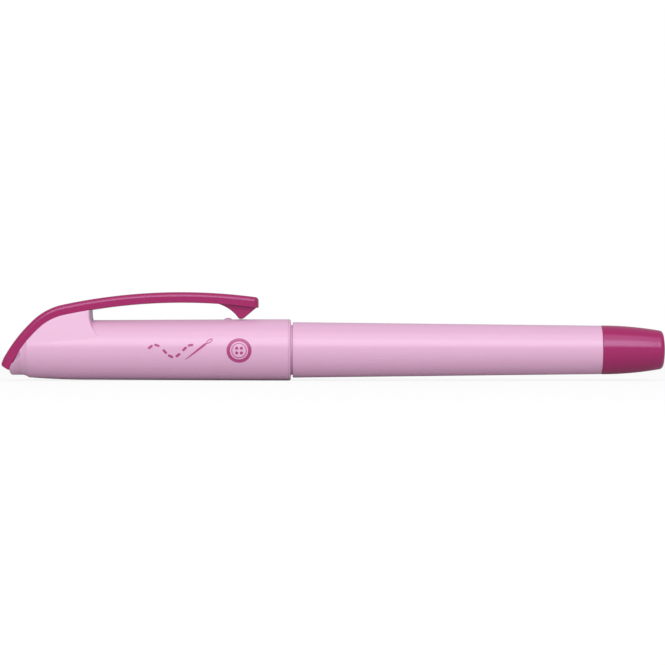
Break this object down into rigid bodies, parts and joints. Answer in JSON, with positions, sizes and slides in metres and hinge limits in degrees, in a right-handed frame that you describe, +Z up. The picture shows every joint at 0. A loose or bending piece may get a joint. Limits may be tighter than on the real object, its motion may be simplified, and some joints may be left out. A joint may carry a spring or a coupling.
{
  "type": "fabric marking pen",
  "caption": "Slim capped marking pen for fabric, with a push-on cap, a springy pocket clip, a fine fibre nib and a pressed-in end plug.",
  "frame": {"origin": "on the surface that the pen lies on, under the middle of its length", "axes": "X along the pen, the cap's closed end at -X and the end plug at +X; Z up, with the clip on top; Y across"},
  "size_m": [0.1396, 0.013, 0.0186],
  "materials": {
    "barrel_plastic": "pale pink moulded plastic, satin gloss",
    "cap_plastic": "pale pink moulded plastic, satin gloss",
    "accent_plastic": "magenta moulded plastic, gloss",
    "grip_plastic": "pale pink moulded plastic, fine satin",
    "white_plastic": "natural white polypropylene",
    "sleeve_metal": "drawn stainless tube",
    "nib_fibre": "bonded fibre, stained with ink",
    "ink_fibre": "bonded fibre, soaked with ink",
    "clear_film": "thin wrap film"
  },
  "bodies": {
    "pen": {"barrel": "barrel_plastic", "end_plug": "accent_plastic", "front_section": "grip_plastic", "nib_holder": "white_plastic", "nib_sleeve": "sleeve_metal", "nib": "nib_fibre", "reservoir": "ink_fibre", "reservoir_film": "clear_film"},
    "liner": {"inner_cap": "white_plastic"},
    "cap": {"cap_shell": "cap_plastic", "clip_root": "accent_plastic"},
    "clip": {"clip_arm": "accent_plastic"}
  },
  "joints": [
    {"name": "cap_pull", "type": "slide", "parent": "pen", "child": "liner", "axis": [-1, 0, 0], "range_m": [0, 0.052]},
    {"name": "cap_turn", "type": "hinge", "parent": "liner", "child": "cap", "pos_m": [-0.054, 0, 0.00645], "axis": [1, 0, 0], "continuous": true},
    {"name": "clip_flex", "type": "hinge", "parent": "cap", "child": "clip", "pos_m": [-0.0502, 0, 0.0172], "axis": [0, -1, 0], "range_deg": [0, 5], "stiffness_Nm_per_rad": 0.6}
  ]
}
